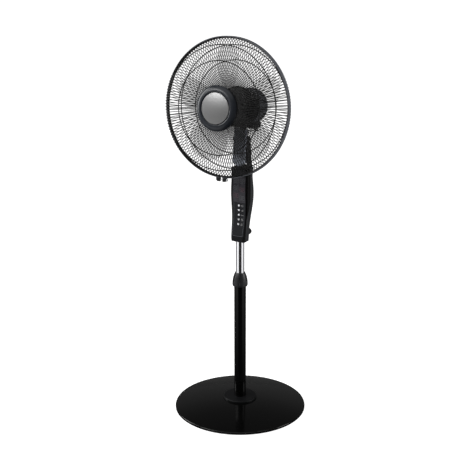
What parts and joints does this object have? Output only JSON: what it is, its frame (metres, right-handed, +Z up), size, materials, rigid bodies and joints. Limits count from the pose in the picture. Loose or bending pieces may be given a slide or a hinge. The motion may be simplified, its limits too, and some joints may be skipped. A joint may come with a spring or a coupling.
{
  "type": "pedestal fan",
  "caption": "Black pedestal fan with a round base, chrome height tube, control housing with display and buttons, and a caged head that tilts and swings.",
  "frame": {"origin": "on the floor under the pole, at the middle of the round base", "axes": "+Z up along the pole, the fan blows towards -Y, +X to the right of someone standing behind it"},
  "size_m": [0.3999, 0.4, 1.1542],
  "materials": {
    "gloss_black": "high gloss moulded black",
    "cast_iron": "raw casting",
    "rubber": "matt",
    "steel": "zinc plated",
    "black_tube": "gloss black paint",
    "chrome": "polished",
    "black_plastic": "fine satin",
    "grey_nylon": "plain",
    "slate_plastic": "satin blue-grey",
    "badge_metal": "satin grey",
    "smoke_blade": "clear smoke grey",
    "black_wire": "black coating",
    "cast_alloy": "die cast",
    "lamination_steel": "stacked sheets",
    "copper": "lacquered wire",
    "bronze": "sintered",
    "gear_case": "plain",
    "display_window": "dark tinted, clear gloss",
    "display_block": "dark red",
    "board_green": "lacquered",
    "silver_button": "metallised"
  },
  "bodies": {
    "stand": {"base_cover": "gloss_black", "base_weight": "cast_iron", "base_feet": "rubber", "base_washer": "steel", "base_bolt": "steel", "hub_flange": "gloss_black", "tube_plug": "grey_nylon", "outer_tube": "black_tube", "tube_collet": "grey_nylon"},
    "collar": {"height_collar": "black_plastic"},
    "mast": {"inner_tube": "chrome", "tube_guide": "grey_nylon", "stem_bracket": "cast_alloy", "control_front_cover": "black_plastic", "control_rear_cover": "black_plastic", "display_lens": "display_window", "display_module": "display_block", "control_board": "board_green", "housing_screws": "steel", "cord_bush": "rubber", "tilt_pin": "steel", "tilt_nut": "steel"},
    "locking_knob": {"lock_knob": "black_plastic"},
    "tilting_knob": {"tilt_knob": "black_plastic"},
    "power_key": {"power_button": "silver_button"},
    "speed_key": {"speed_button": "silver_button"},
    "swing_key": {"swing_button": "silver_button"},
    "timer_key": {"timer_button": "silver_button"},
    "mode_key": {"mode_button": "silver_button"},
    "neck": {"neck_block": "black_plastic", "neck_cover": "slate_plastic"},
    "link": {"swing_link": "steel"},
    "crank": {"swing_crank": "grey_nylon"},
    "head": {"motor_foot": "black_plastic", "swing_spindle": "steel", "swing_motor": "gear_case", "motor_front_cover": "black_plastic", "motor_rear_cover": "black_plastic", "stator_core": "lamination_steel", "stator_windings": "copper", "front_bracket": "cast_alloy", "rear_bracket": "cast_alloy", "shaft_bearings": "bronze", "stator_screws": "steel", "rear_cover_screws": "steel", "rear_grille": "black_wire", "grille_nut": "black_plastic", "front_grille": "black_wire", "grille_hoop": "black_plastic", "hoop_screw": "steel", "badge_ring": "slate_plastic", "badge_disc": "badge_metal", "badge_clamp": "black_plastic", "badge_screws": "steel"},
    "rotor": {"motor_shaft": "steel", "rotor_core": "lamination_steel", "drive_pin": "steel", "fan_blades": "smoke_blade", "blade_nut": "black_plastic"}
  },
  "joints": [
    {"name": "height_slide", "type": "slide", "parent": "stand", "child": "mast", "axis": [0, 0, 1], "range_m": [-0.09, 0.11]},
    {"name": "collar_turn", "type": "hinge", "parent": "stand", "child": "collar", "pos_m": [0, 0, 0.42], "axis": [0, 0, 1], "range_deg": [0, 120]},
    {"name": "lock_knob_turn", "type": "hinge", "parent": "mast", "child": "locking_knob", "pos_m": [0, 0.03, 0.556], "axis": [0, 1, 0], "range_deg": [0, 270]},
    {"name": "tilt_knob_turn", "type": "hinge", "parent": "mast", "child": "tilting_knob", "pos_m": [-0.025, 0.015, 0.846], "axis": [-1, 0, 0], "range_deg": [0, 180]},
    {"name": "head_tilt", "type": "hinge", "parent": "mast", "child": "neck", "pos_m": [0, 0.015, 0.846], "axis": [-1, 0, 0], "range_deg": [-13.4, 13.6]},
    {"name": "head_swing", "type": "hinge", "parent": "neck", "child": "head", "pos_m": [0, 0.015, 0.846], "axis": [0, 0.1461, 0.9893], "range_deg": [-40, 40]},
    {"name": "link_swing", "type": "hinge", "parent": "neck", "child": "link", "pos_m": [0.0155, 0.015, 0.846], "axis": [0, 0.1461, 0.9893], "range_deg": [-40, 40]},
    {"name": "crank_turn", "type": "hinge", "parent": "head", "child": "crank", "pos_m": [0.0155, 0.05061, 0.84074], "axis": [0, 0.1461, 0.9893], "range_deg": [-88, 88]},
    {"name": "blade_spin", "type": "hinge", "parent": "head", "child": "rotor", "pos_m": [0, 0.02902, 0.94097], "axis": [0, -0.9893, 0.1461], "continuous": true},
    {"name": "power_press", "type": "slide", "parent": "mast", "child": "power_key", "axis": [0, 1, 0], "range_m": [0, 0.001], "stiffness_N_per_m": 800, "springref_m": -0.001},
    {"name": "speed_press", "type": "slide", "parent": "mast", "child": "speed_key", "axis": [0, 1, 0], "range_m": [0, 0.001], "stiffness_N_per_m": 800, "springref_m": -0.001},
    {"name": "swing_press", "type": "slide", "parent": "mast", "child": "swing_key", "axis": [0, 1, 0], "range_m": [0, 0.001], "stiffness_N_per_m": 800, "springref_m": -0.001},
    {"name": "timer_press", "type": "slide", "parent": "mast", "child": "timer_key", "axis": [0, 1, 0], "range_m": [0, 0.001], "stiffness_N_per_m": 800, "springref_m": -0.001},
    {"name": "mode_press", "type": "slide", "parent": "mast", "child": "mode_key", "axis": [0, 1, 0], "range_m": [0, 0.001], "stiffness_N_per_m": 800, "springref_m": -0.001}
  ],
  "couplings": [
    {"joint": "link_swing", "follows": "head_swing", "ratio": 1},
    {"joint": "crank_turn", "follows": "head_swing", "ratio": -2.2}
  ]
}
